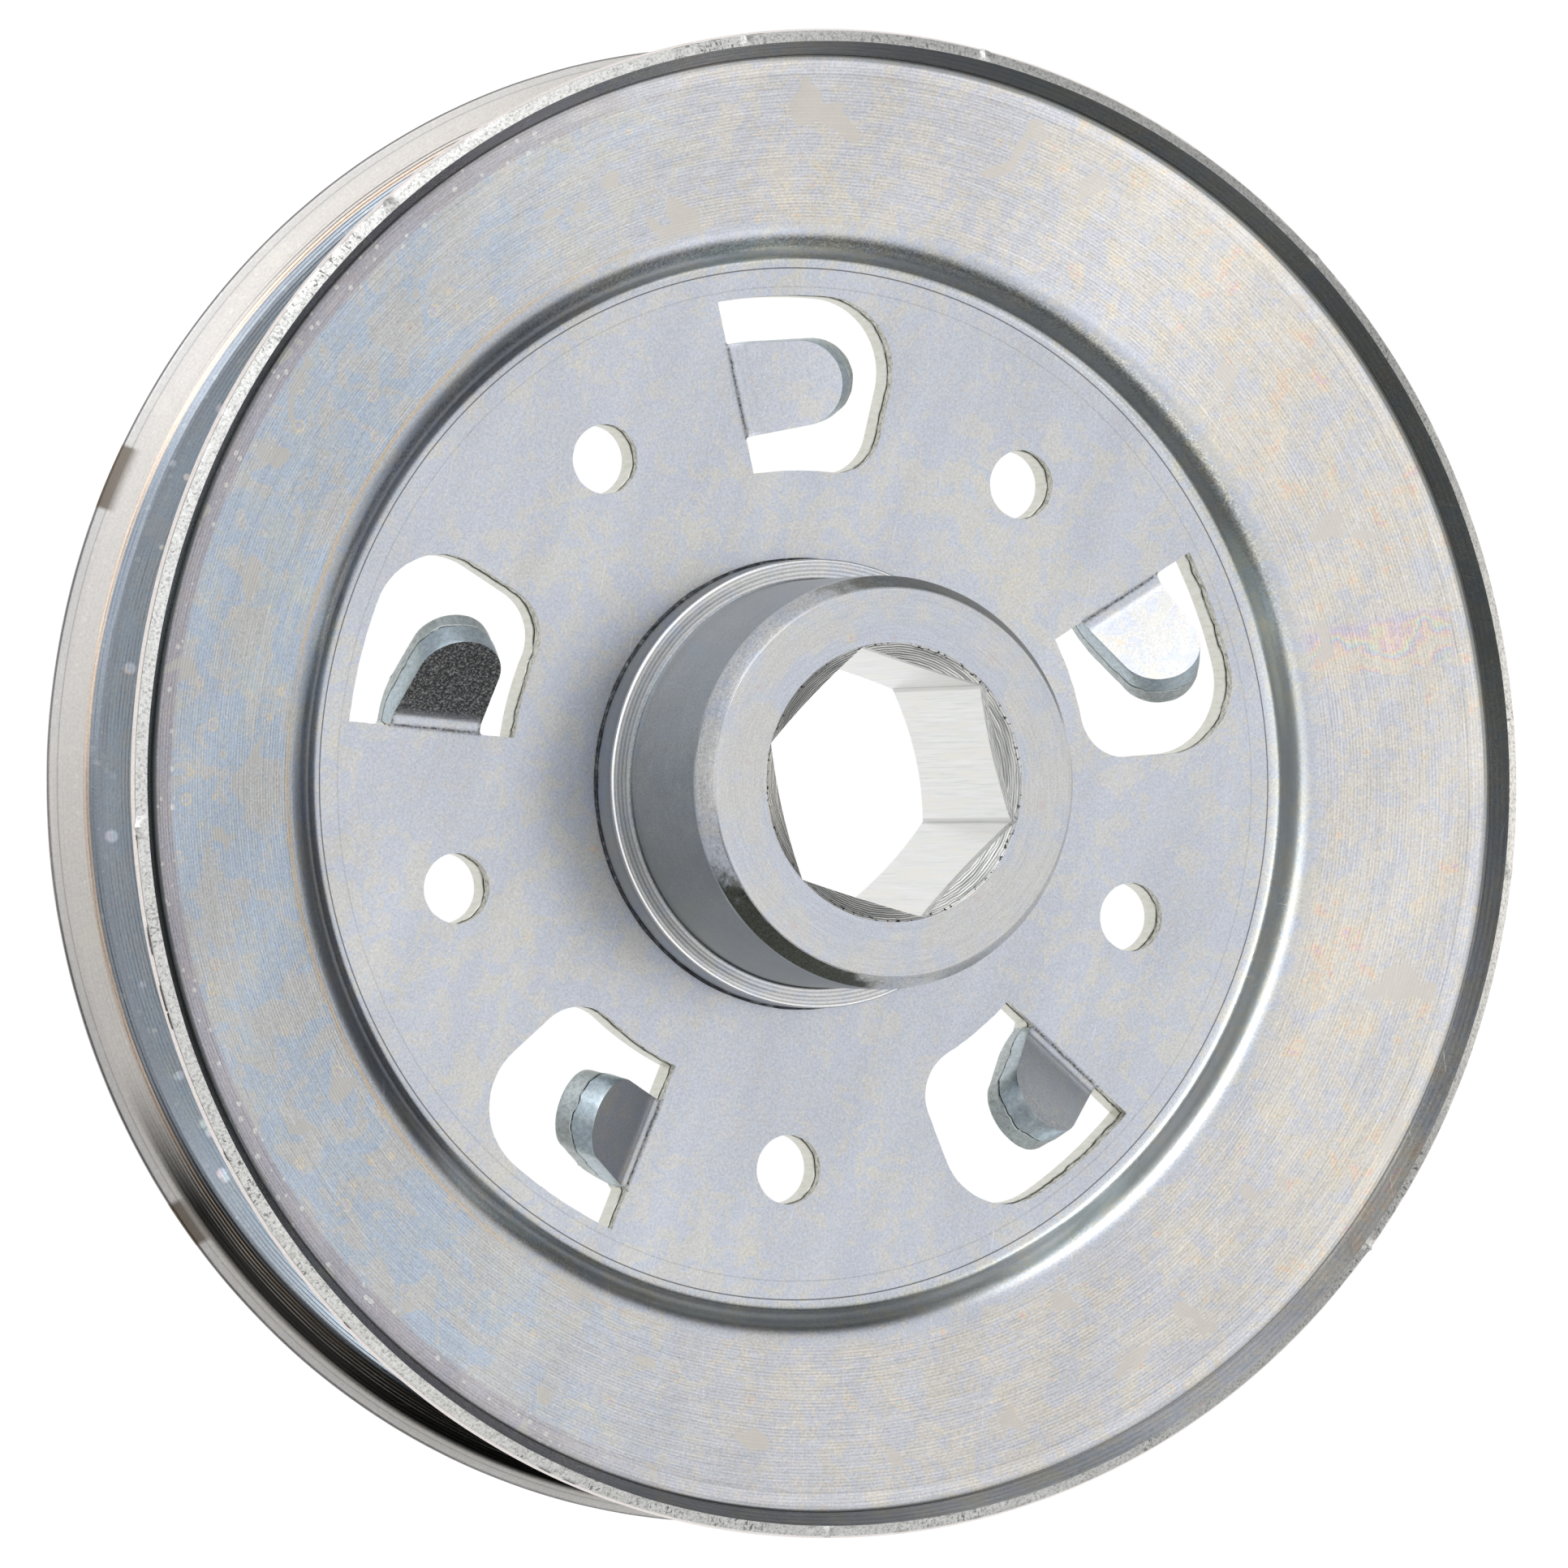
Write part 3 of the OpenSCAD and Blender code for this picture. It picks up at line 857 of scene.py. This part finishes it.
def plated_steel():
    """The spun sheet: zinc plate with stains, drops, scratches and the spinning tool's fine rings, and
    painted shade and highlights on the step, the lips, the tabs and the groove.
    """
    n = Nodes("zinc_plate")
    r, z = n.polar()
    flange = n.smooth(r, 51.6, 53.2)
    cloud = n.noise(0.05)
    blotch = n.noise(0.3, 4, 0.62, distortion=0.5)
    fleck = n.noise(1.7, 3, 0.65)
    streak = n.round_axis(22, 2.4, 4, 0.7)

    # One half of the flange stood in the bath longer: it is bluer
    bath_side, up_side = n.side(BATH_SIDE), n.side(UP_SIDE)
    soaked = n.smooth(n.add(bath_side, n.swing(blotch, 14)), 6, 44)
    dry = n.rest(soaked)

    # The film's thickness: broad clouds with crisp edges, spots, drops, and streaks on the flange
    crisp = n.smooth(n.noise(0.42, 4, 0.6, distortion=0.8), 0.49, 0.52)
    spots = n.smooth(n.add(n.drops(3.4, 1.1, 0.7), n.swing(fleck, 0.3)), 0.1, 0.22)
    drop = n.drops(2.9, 0.75, 0.55)
    colour = n.film(n.add(
        0.46, n.swing(cloud, 0.22), n.swing(blotch, 0.2), n.swing(fleck, 0.09),
        n.times(crisp, -0.12), n.times(spots, 0.08),
        n.times(flange, n.add(0.06, n.swing(streak, 0.17), n.swing(blotch, 0.12), n.times(soaked, -0.13))),
        n.times(n.smooth(drop, 0, 0.75), n.fit(flange, 0.24, 0.1)),
        n.times(n.drops(1.3, 0.36, 0.4), n.smooth(cloud, 0.4, 0.6), 0.16)))
    colour = n.mix(n.times(soaked, flange, 0.8), colour, n.tinted(colour, (0.9, 1, 1.08)))

    # Where it is soaked: grey islands with a cream coast, drops with cream rings, a thin orange tide line
    # near the step, and a dull band with white drops near the lip. Elsewhere a rainbow smear runs out across
    # the flange, and a few flat patches with clean edges are bare
    islands = n.times(soaked, flange)
    coast = n.add(n.noise(0.26, 5, 0.62, distortion=0.7), n.times(n.smooth(bath_side, 62, 20), 0.05))
    ring_drop = n.drops(2.4, 0.8, 0.5)
    smear_across = n.side((0.61, 0.79), n.swing(streak, 0.8), n.swing(cloud, 5))
    smear = n.times(
        n.band(smear_across, -2.6, 2, 0.7), n.smooth(n.x, 37.5, 39), flange, n.smooth(r, 66, 65.2))
    bands = n.add(0.8, n.times(n.wave(n.add(smear_across, n.swing(blotch, 3.4))), 0.2))
    tide = n.times(n.band(r, 52.45, 52.85, 0.16), soaked, n.smooth(n.round_axis(3, 0.3, 3), 0.36, 0.46))
    white_drop = n.times(n.smooth(n.drops(0.9, 0.36, 0.7), 0.1, 0.3), n.smooth(r, 64.4, 65.4), soaked)
    patch = n.times(n.smooth(n.noise(0.17, 2, 0.45, distortion=0.35), 0.65, 0.66), flange)
    colour = n.coats(
        colour,
        (n.times(n.smooth(coast, 0.545, 0.56), islands, 0.85), (0.61, 0.6, 0.58)),
        (n.times(n.band(coast, 0.525, 0.54, 0.012), islands, 0.55), (0.76, 0.66, 0.5)),
        (n.times(n.band(ring_drop, 0.12, 0.4, 0.1), islands, 0.6), (0.78, 0.68, 0.5)),
        (n.times(n.smooth(ring_drop, 0.5, 0.6), islands, 0.6), (0.66, 0.56, 0.6)),
        (n.times(smear, 0.85), n.film(bands)),
        (n.times(tide, 0.8), (0.72, 0.58, 0.42)),
        (n.times(n.smooth(r, 65.2, 65.5), soaked, 0.8), (0.49, 0.46, 0.5)),
        (n.times(white_drop, 0.8), (0.8, 0.8, 0.77)),
        (patch, (0.6, 0.59, 0.57)))

    # Light and dark: grain, wiped streaks, scratches, the tool's rings on the flange, and painted shade on
    # the step, darkest on the soaked side, with a painted highlight on it toward one part of the other side
    grain = n.noise(4.2, 3, 0.75)
    fine_rings = n.round_axis(12, 5.6, 3, 0.8)
    hairlines = n.smooth(n.round_axis(12, 7, 2, 0.6), 0.5, 0.62)
    tool_lines = n.wave(n.add(n.times(r, 21), n.swing(cloud, 5), n.swing(fleck, 1)))
    wiped = n.noise(1, 3, 0.6, at=n.vec(n.side((0.028, 0.006)), n.side((-0.04, 0.16)), 3))
    scratch = n.most(n.scratches(0.5, 7, 0.16, 0.765), n.scratches(1.9, 4, 0.13, 0.775))
    speck = n.smooth(n.drops(9, 0.16, 0.5), 0.15, 0.4)
    # The step's band: it takes painted shade and a painted highlight below, and a warm tint on the dry side
    stepped = n.band(r, 48.9, 51, 0.5)
    not_patch = n.fit(patch, -0.8, 1)
    turned_look = n.add(
        n.swing(fine_rings, 0.3), n.swing(grain, 0.06), n.times(hairlines, 0.08),
        n.times(tool_lines, n.fit(soaked, -0.04, 0.09)))
    colour = n.shade(colour, n.add(
        1.03, n.times(n.swing(grain, 0.42), not_patch), n.swing(wiped, 0.14),
        n.times(flange, not_patch, turned_look), n.times(scratch, 0.16), n.swing(cloud, 0.1),
        # Painted shade on the curl before the lip on the soaked side, painted highlight on the other
        n.times(n.band(r, 66, 67.2, 0.15), n.fit(soaked, -0.1, 0.1)),
        n.times(n.band(r, 65.7, 65.8, 0.1), -0.14), n.times(stepped, n.fit(soaked, -0.42, -0.06)),
        n.times(stepped, n.smooth(n.toward((0.26, -0.966)), 0.55, 0.9), 0.65)))
    colour = n.mix(n.times(stepped, dry), colour, n.tinted(colour, (1.03, 1.03, 0.93)))
    colour = n.mix(n.times(flange, dry), colour, n.tinted(colour, (1.03, 0.995, 0.955)))

    # Painted highlight on the tabs toward one side and painted shade on the tabs toward the other, and the
    # step is grainy where it faces up
    leaned = n.attribute("leaned")
    colour = n.shade(colour, n.add(
        1, n.times(leaned, n.smooth(up_side, 25, 33), 0.4),
        n.times(leaned, n.smooth(up_side, -18, -27), -0.3),
        n.times(n.band(r, 50.1, 51.1, 0.4), n.smooth(up_side, 5, 30), n.swing(grain, 1.1))))

    # Painted shade on the lips' inner faces, darkest on two sides, with a painted shadow line at the foot
    along = n.attribute("along")
    outer = n.smooth(along, 0.02, 0.1)
    lip = n.times(n.smooth(r, 66.95, 67.15), n.smooth(n.math("ABSOLUTE", z), 9.6, 9.9), n.rest(outer))
    lip_painted_shade = n.add(
        0.2, n.times(n.smooth(bath_side, 46, 66), 0.7), n.times(n.smooth(n.side((1, -0.12)), 30, 62), 0.5))
    # The faces of the tabs on the soaked side are scaly and dull
    scale = n.times(leaned, n.smooth(bath_side, 22, 30))
    scaly = n.ramp(n.noise(4.4, 3, 0.8), (0.42, (0.015, 0.015, 0.012)), (0.52, (0.16, 0.16, 0.15)),
                   (0.64, (0.85, 0.85, 0.82)))
    # Thin dark lines: where the spinning began and a fainter circle inside it, a painted shadow line at the
    # lip's foot, the folds
    fold = n.attribute("fold")
    hatch = n.smooth(n.noise(3.4, 3, 0.6), 0.35, 0.62)
    die_line = n.band(r, FLAT_R - 0.11, FLAT_R + 0.01, 0.035)
    dark = n.most(
        n.add(n.times(die_line, 0.75), n.times(n.band(r, 67.35, 67.6, 0.06), lip, 0.7)),
        n.times(n.band(r, 46.45, 46.55, 0.06), 0.22), n.times(fold, n.fit(hatch, -0.45, 1)), speck)
    colour = n.coats(
        colour, (n.times(lip, lip_painted_shade), (0.1, 0.12, 0.12)), (n.times(scale, 0.85), scaly),
        (dark, (0.035, 0.035, 0.03)))

    # Outside the rim the rollers left bright bands with fine lines between; along says how far a place lies
    # past the lip, and the groove begins at 4.8
    band_tint = n.ramp(
        n.times(along, 0.1), (0, (0.62, 0.54, 0.46)), (0.02, (0.76, 0.71, 0.68)), (0.06, (0.74, 0.7, 0.67)),
        (0.07, 0.1), (0.085, 0.12), (0.095, (0.64, 0.62, 0.59)), (0.165, (0.64, 0.62, 0.59)),
        (0.175, (0.34, 0.33, 0.32)), (0.185, (0.66, 0.63, 0.59)), (0.42, (0.66, 0.62, 0.57)),
        (0.47, (0.6, 0.44, 0.3)), (0.5, (0.42, 0.5, 0.58)), (0.75, (0.42, 0.5, 0.58)),
        (1, (0.46, 0.52, 0.58)))
    groove = n.smooth(along, 4.75, 4.95)
    # Painted shade: the groove is darker on the bath side
    band_tint = n.shade(band_tint, n.add(1, n.times(groove, n.smooth(bath_side, 30, 52), -0.55)))
    splash = n.times(n.band(along, 5.2, 12, 0.3), n.smooth(n.drops(2.2, 0.8, 0.5), 0, 0.5))
    band_tint = n.mix(n.times(splash, 0.7), band_tint, n.film(n.add(0.75, n.swing(blotch, 0.5))))
    roller = n.times(n.band(along, 3.7, 7.6, 0.3), n.wave(n.add(n.times(along, 19), n.swing(cloud, 5))))
    score = n.times(n.smooth(roller, 0.3, 0.8), n.smooth(bath_side, 60, 40), -0.75)
    # On one side the shoulder carries a painted dark reflection, striped along the roller lines; two chips
    # show brown on the rear lip
    low_side = n.smooth(up_side, -24, -40)
    painted_dark_reflection = n.times(n.band(along, 2.4, 5.4, 0.4), low_side)
    long_chip = n.smooth(n.toward((-0.962, 0.272)), 0.999, 0.9993)
    short_chip = n.smooth(n.toward((-0.249, 0.969)), 0.9993, 0.9996)
    chip = n.times(n.smooth(z, -10, -11), n.most(long_chip, short_chip))
    # Painted highlight: the groove past 5.2 is twice as light on the low side
    band_tint = n.shade(band_tint, n.add(1, n.times(n.smooth(along, 5.2, 5.8), low_side)))
    outer_colour = n.coats(
        n.shade(n.mix(0.18, band_tint, colour), n.add(1, n.swing(grain, 0.2), score)),
        (n.times(painted_dark_reflection, n.fit(n.smooth(roller, 0.2, 0.7), -0.45, 0.98)), (0.015, 0.015, 0.014)),
        (n.times(chip, 0.85), (0.12, 0.09, 0.06)))
    colour = n.mix(outer, colour, outer_colour)

    height = n.add(
        n.times(grain, 1.3), n.times(scale, n.noise(2.6, 3, 0.7), 5),
        n.times(flange, n.add(n.times(fine_rings, 1.5), n.times(tool_lines, 0.25))), n.times(scratch, -0.6),
        n.times(die_line, -1.5), n.times(drop, 0.12), n.times(roller, 0.35),
        n.times(outer, n.round_axis(4, 6, 2, 0.6), 0.9), n.times(fold, hatch, 2))
    matte = n.times(n.band(along, 0.95, 4.4, 0.2), n.rest(painted_dark_reflection))
    rough = n.add(
        0.3, n.swing(cloud, 0.06), n.swing(fleck, 0.04), n.times(flange, -0.04), n.times(outer, -0.11),
        n.times(patch, -0.02), n.times(n.band(r, 48.5, 52.3, 0.4), -0.05), n.times(matte, 0.2))
    return n.finish(
        Base_Color=colour, Metallic=n.fit(matte, -0.6, 1), Roughness=rough, Normal=n.bump(height, 0.0065))


def cut_wall():
    """A punched wall: torn at a window's front and a tab's back, burnished beyond the crack."""
    n = Nodes("cut_wall")
    n.polar()
    crack, torn, on_tab = n.attribute("crack"), n.attribute("torn"), n.attribute("on_tab")
    lines = n.noise(1, 3, 0.6, at=n.vec(n.times(n.x, 3), n.times(n.y, 3), n.times(n.z, 0.5)))
    rag = n.noise(2.2, 4, 0.75)
    warm = n.ramp(lines, (0.3, (0.6, 0.6, 0.52)), (0.6, (0.7, 0.7, 0.64)))
    cool = n.ramp(lines, (0.3, (0.42, 0.5, 0.54)), (0.6, (0.52, 0.6, 0.65)))
    burnish = n.shade(n.mix(on_tab, warm, cool), n.add(1, n.times(n.swing(rag, 0.6), on_tab)))
    ripped = n.ramp(rag, (0.34, (0.2, 0.19, 0.15)), (0.5, (0.56, 0.56, 0.5)), (0.66, (0.74, 0.74, 0.7)))
    ripped = n.mix(n.times(on_tab, 0.55), ripped, cool)
    # Painted shade in the crack's groove: a broken near-black line along it
    dark = n.times(n.smooth(crack, 0.25, 0.8), n.smooth(n.noise(1.1, 3, 0.6), 0.36, 0.5))
    colour = n.coats(burnish, (n.smooth(torn, 0.3, 0.7), ripped), (dark, (0.04, 0.04, 0.03)))
    height = n.add(n.times(lines, 0.5), n.times(rag, torn, 4))
    rough = n.add(0.36, n.times(torn, 0.12))
    return n.finish(Base_Color=colour, Metallic=0.85, Roughness=rough, Normal=n.bump(height, 0.012))


def cut_edge():
    """The rim's cut edge: rough light grey with the slitting tool's short marks across it."""
    n = Nodes("cut_edge")
    n.polar()
    marks = n.round_axis(230, 1.6, 3, 0.7)
    pits = n.noise(3.6, 3, 0.75)
    patchy = n.smooth(n.noise(0.07), 0.5, 0.62)
    colour = n.ramp(pits, (0.34, (0.34, 0.34, 0.33)), (0.46, (0.64, 0.64, 0.62)), (0.66, (0.82, 0.82, 0.81)))
    hatch = n.times(n.smooth(marks, 0.44, 0.38), n.fit(patchy, 0.75, 0.05))
    colour = n.mix(hatch, colour, (0.06, 0.06, 0.06))
    height = n.add(n.times(marks, 0.4), pits)
    return n.finish(Base_Color=colour, Metallic=0.9, Roughness=0.38, Normal=n.bump(height, 0.02))


def turned_steel():
    """The hub, turned all over and plated: rings on its flat faces, a satin barrel with painted shade and
    light by side, a coarse chamfer with painted shade.
    """
    n = Nodes("turned_steel")
    r, z = n.polar()
    nose = n.smooth(z, HUB_TOP - 0.25, HUB_TOP - 0.1)
    chamfer = n.times(n.smooth(z, HUB_TOP - CHAMFER_H - 0.1, HUB_TOP - CHAMFER_H + 0.2), n.rest(nose))
    barrel = n.times(
        n.smooth(r, HUB_R - 0.2, HUB_R - 0.05), n.smooth(r, HUB_R + 0.3, HUB_R + 0.1),
        n.smooth(z, HUB_TOP - CHAMFER_H + 0.1, HUB_TOP - CHAMFER_H - 0.2))
    ledge = n.band(z, COLLAR_TOP - 0.12, COLLAR_TOP + 0.1, 0.05)
    collar_side = n.times(
        n.smooth(r, HUB_R + 0.8, COLLAR_R - 0.15), n.smooth(z, COLLAR_TOP - 0.1, COLLAR_TOP - 0.4))
    cloud = n.noise(0.09, 3, 0.55)
    blotch = n.noise(0.45, 4, 0.62, distortion=0.4)
    colour = n.film(n.add(
        0.46, n.swing(cloud, 0.16), n.swing(blotch, 0.2), n.times(nose, n.drops(2.6, 0.7, 0.4), 0.3),
        n.times(nose, n.smooth(n.add(r, n.swing(cloud, 6)), 14.5, 13.2), -0.1)))
    grain = n.noise(6, 3, 0.7)
    rings = n.round_axis(5, 8, 2, 0.7)
    steps = n.wave(n.add(n.times(r, 17), n.swing(cloud, 0.6)))
    rubbed = n.smooth(n.noise(0.6, 4, 0.7), 0.6, 0.68)
    gain = n.add(
        1, n.swing(grain, 0.36), n.times(n.swing(rings, 0.2), n.smooth(z, 5, 5.5)),
        n.times(ledge, steps, 0.22), n.times(ledge, n.smooth(r, COLLAR_R - 0.35, COLLAR_R - 0.2), 0.4),
        n.times(chamfer, n.swing(n.noise(3, 4, 0.7), 0.5)), n.times(chamfer, rubbed, -0.25))
    # Painted shade and light on the barrel: dark on one side, lighter toward the other
    up_side = n.side(UP_SIDE, n.swing(blotch, 5))
    barrel_painted_shading = n.mix(n.smooth(up_side, -17, 17), (0.095, 0.115, 0.12), (0.35, 0.38, 0.41))
    # Painted shade on the chamfer, with rough grain: heavy on one side, lighter opposite
    chamfer_shade_one_side = n.smooth(n.side((-1, -0.06), n.swing(blotch, 2.6)), 15.6, 17.4)
    chamfer_shade_opposite = n.smooth(n.side((0.98, 0.2), n.swing(blotch, 4)), 11, 16)
    chamfer_painted_shade = n.times(chamfer, n.most(n.times(chamfer_shade_one_side, 0.97), n.times(chamfer_shade_opposite, 0.75)))
    colour = n.coats(
        n.shade(colour, gain),
        (n.times(barrel, 0.88), n.shade(barrel_painted_shading, n.add(gain, n.swing(grain, 0.5)))),
        (n.times(collar_side, 0.85), n.shade((0.13, 0.15, 0.175), gain)),
        (chamfer_painted_shade, n.shade((0.06, 0.065, 0.05), n.add(gain, n.swing(grain, 1.2)))),
        (n.times(nose, n.smooth(n.drops(1.5, 0.5, 0.35), 0.1, 0.3), 0.35), (0.6, 0.48, 0.5)),
        (n.smooth(n.drops(5, 0.2, 0.5), 0.15, 0.4), (0.05, 0.05, 0.05)))
    height = n.add(
        n.times(grain, 0.8), n.times(rings, n.fit(barrel, -0.2, 0.5)), n.times(ledge, steps, 0.25),
        n.times(chamfer, n.noise(2.6, 4, 0.7), 4))
    rough = n.add(
        0.28, n.swing(cloud, 0.05), n.times(barrel, 0.04), n.times(ledge, -0.04), n.times(chamfer, 0.05))
    return n.finish(Base_Color=colour, Metallic=1, Roughness=rough, Normal=n.bump(height, 0.007))


def bore_steel():
    """The broached hexagon: lines along the axis, with a chattered lead-in at the front."""
    n = Nodes("broached_bore")
    r, z = n.polar()
    lead = n.smooth(n.attribute("lead"), 0.05, 0.3)
    lines = n.noise(1, 3, 0.65, at=n.vec(n.times(n.x, 5), n.times(n.y, 5), n.times(z, 0.12)))
    broad = n.noise(1, at=n.vec(n.times(n.x, 0.8), n.times(n.y, 0.8), n.times(z, 0.1)))
    corner = n.smooth(r, HEX_CORNER - 0.22, HEX_CORNER - 0.08)
    chatter = n.wave(n.add(n.times(n.add(r, z), 20), n.swing(broad, 4)))
    cut = n.ramp(n.round_axis(3, 5, 3, 0.6), (0.35, (0.26, 0.27, 0.27)), (0.6, (0.6, 0.6, 0.58)))
    burr = n.times(
        n.band(z, HUB_TOP - 1, HUB_TOP + 0.1, 0.2), n.smooth(n.noise(2.4, 3, 0.6), 0.56, 0.62),
        n.smooth(r, HEX_CORNER - 0.45, HEX_CORNER - 0.2))
    colour = n.coats(
        n.ramp(lines, (0.3, (0.7, 0.71, 0.69)), (0.5, (0.8, 0.81, 0.8)), (0.7, (0.86, 0.86, 0.85))),
        (n.smooth(broad, 0.5, 0.7), (0.82, 0.8, 0.75)),
        # Painted shade in the hexagon's corners, away from the lead-in
        (n.times(corner, n.rest(lead), 0.3), (0.15, 0.15, 0.14)),
        (lead, n.shade(cut, n.fit(chatter, 0.35, 1))),
        (burr, (0.03, 0.03, 0.03)))
    height = n.add(n.times(lines, 1.5), n.times(lead, chatter, 0.8))
    return n.finish(Base_Color=colour, Metallic=0.9, Roughness=0.3, Normal=n.bump(height, 0.008))


def weld_steel():
    """The weld's flash: near black, partly scorched zinc and partly painted shadow at the collar's foot, with
    painted highlights on its tops.
    """
    n = Nodes("weld_steel")
    grain = n.noise(1.6, 4, 0.65)
    colour = n.ramp(
        grain, (0.35, (0.02, 0.022, 0.025)), (0.55, (0.06, 0.065, 0.07)), (0.72, (0.22, 0.23, 0.23)))
    height = n.add(n.times(grain, 2), n.noise(5, 3, 0.6))
    return n.finish(Base_Color=colour, Metallic=0.9, Roughness=0.42, Normal=n.bump(height, 0.03))


def place(obj, mats, slot, node):
    for m in mats:
        obj.data.materials.append(m)
    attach(obj, "root")
    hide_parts(node)


place(build_sheave(), [plated_steel(), cut_wall(), cut_edge()], "zinc_plated_steel", "sheave")
place(build_hub(), [turned_steel(), bore_steel()], "turned_steel", "hub")
place(build_weld(), [weld_steel()], "weld_steel", "hub_weld")


# ---------------------------------------------------------------- floor, light and camera

def build_floor():
    m = bpy.data.meshes.new("floor")
    w, z = FLOOR_REACH, -RIM_HALF_W * 0.001
    m.from_pydata([(-w, -w, z), (w, -w, z), (w, w, z), (-w, w, z)], [], [(0, 1, 2, 3)])
    o = bpy.data.objects.new("floor", m)
    bpy.context.scene.collection.objects.link(o)
    n = Nodes("floor_paper")
    tone = n.ramp(n.noise(0.05, 3), (0.3, 0.11), (0.7, 0.13))
    o.data.materials.append(n.finish(
        Base_Color=tone, Roughness=0.8, Emission_Color=(1, 1, 1), Emission_Strength=FLOOR_GLOW))


def build_light():
    """A studio all round: a white ceiling, dark walls low down, and soft boxes standing about."""
    world = bpy.data.worlds.new("studio")
    bpy.context.scene.world = world
    world.use_nodes = True
    nt = world.node_tree
    nt.nodes.clear()

    def node(kind, *inputs, **props):
        """A node with its first inputs linked to sockets or set to values."""
        made = nt.nodes.new(kind)
        for k, v in props.items():
            setattr(made, k, v)
        for socket, value in zip(made.inputs, inputs):
            if isinstance(value, bpy.types.NodeSocket):
                nt.links.new(value, socket)
            else:
                socket.default_value = value
        return made

    toward = node("ShaderNodeTexCoord").outputs["Generated"]
    split = node("ShaderNodeSeparateXYZ", toward)
    walls = node("ShaderNodeValToRGB", split.outputs[2])
    set_stops(walls, WALL_TONES)
    total = walls.outputs[0]
    for azimuth, elevation, half_width, strength, tint in SOFT_BOXES:
        az, el, w = math.radians(azimuth), math.radians(elevation), math.radians(half_width)
        way = (math.cos(az) * math.cos(el), math.sin(az) * math.cos(el), math.sin(el))
        facing = node("ShaderNodeVectorMath", toward, way, operation="DOT_PRODUCT")
        glow = node("ShaderNodeMapRange", facing.outputs["Value"], math.cos(BOX_FADE[0] * w),
                    math.cos(BOX_FADE[1] * w), 0, strength, interpolation_type="SMOOTHSTEP")
        tinted = node("ShaderNodeVectorMath", tint, operation="SCALE")
        nt.links.new(glow.outputs[0], tinted.inputs["Scale"])
        total = node("ShaderNodeVectorMath", total, tinted.outputs[0], operation="ADD").outputs[0]
    lit = node("ShaderNodeVectorMath", total, (DARKEST, DARKEST, DARKEST), operation="MAXIMUM")
    light = node("ShaderNodeBackground", lit.outputs[0])
    # Seen straight on, the studio is a plain pale backdrop
    backdrop = node("ShaderNodeBackground", (BACKDROP, BACKDROP, BACKDROP, 1))
    straight_on = node("ShaderNodeLightPath").outputs["Is Camera Ray"]
    seen = node("ShaderNodeMixShader", straight_on, light.outputs[0], backdrop.outputs[0])
    node("ShaderNodeOutputWorld", seen.outputs[0])


def build_camera():
    data = bpy.data.cameras.new("camera")
    data.sensor_width, data.lens = SENSOR, LENS
    data.clip_start, data.clip_end = 0.01, 20
    o = bpy.data.objects.new("camera", data)
    bpy.context.scene.collection.objects.link(o)
    m = Matrix(CAMERA_AXES).transposed().to_4x4()
    m.translation = Vector(CAMERA_AT)
    o.matrix_world = m
    bpy.context.scene.camera = o


build_floor()
build_light()
build_camera()
bpy.context.scene.view_settings.view_transform = "Standard"
